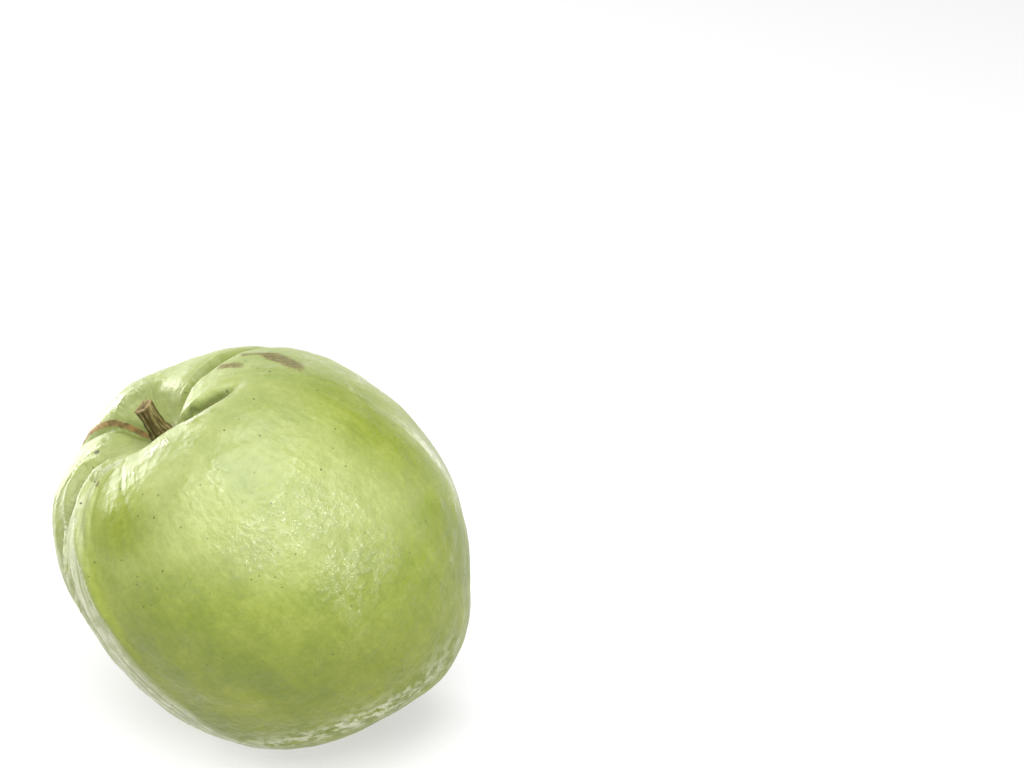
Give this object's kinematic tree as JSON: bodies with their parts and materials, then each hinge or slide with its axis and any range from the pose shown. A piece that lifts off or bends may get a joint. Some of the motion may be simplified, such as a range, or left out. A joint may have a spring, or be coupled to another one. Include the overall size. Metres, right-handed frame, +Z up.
{
  "type": "guava",
  "caption": "Whole large green guava lying on its side, with a short woody stem in its folded top and a dried calyx at its other end.",
  "frame": {"origin": "middle of the small flat spot that the fruit rests on, on its underside", "axes": "+Z up from the table, +X to the side that the blossom end points to, -Y to the side with the broad smooth lobe; the fruit's own stem axis leans 34.5 degrees from +Z towards -X"},
  "size_m": [0.091, 0.0829, 0.0905],
  "materials": {
    "skin": "waxy, glossy, finely pebbled green skin",
    "stem_bark": "rough dry bark",
    "calyx": "dull, dried and dark",
    "sepal": "dull, dried and papery"
  },
  "bodies": {
    "root": {"fruit": "skin", "stem": "stem_bark", "calyx_disc": "calyx", "sepal_1": "sepal", "sepal_2": "sepal", "sepal_3": "sepal", "sepal_4": "sepal", "sepal_5": "sepal"}
  },
  "joints": []
}
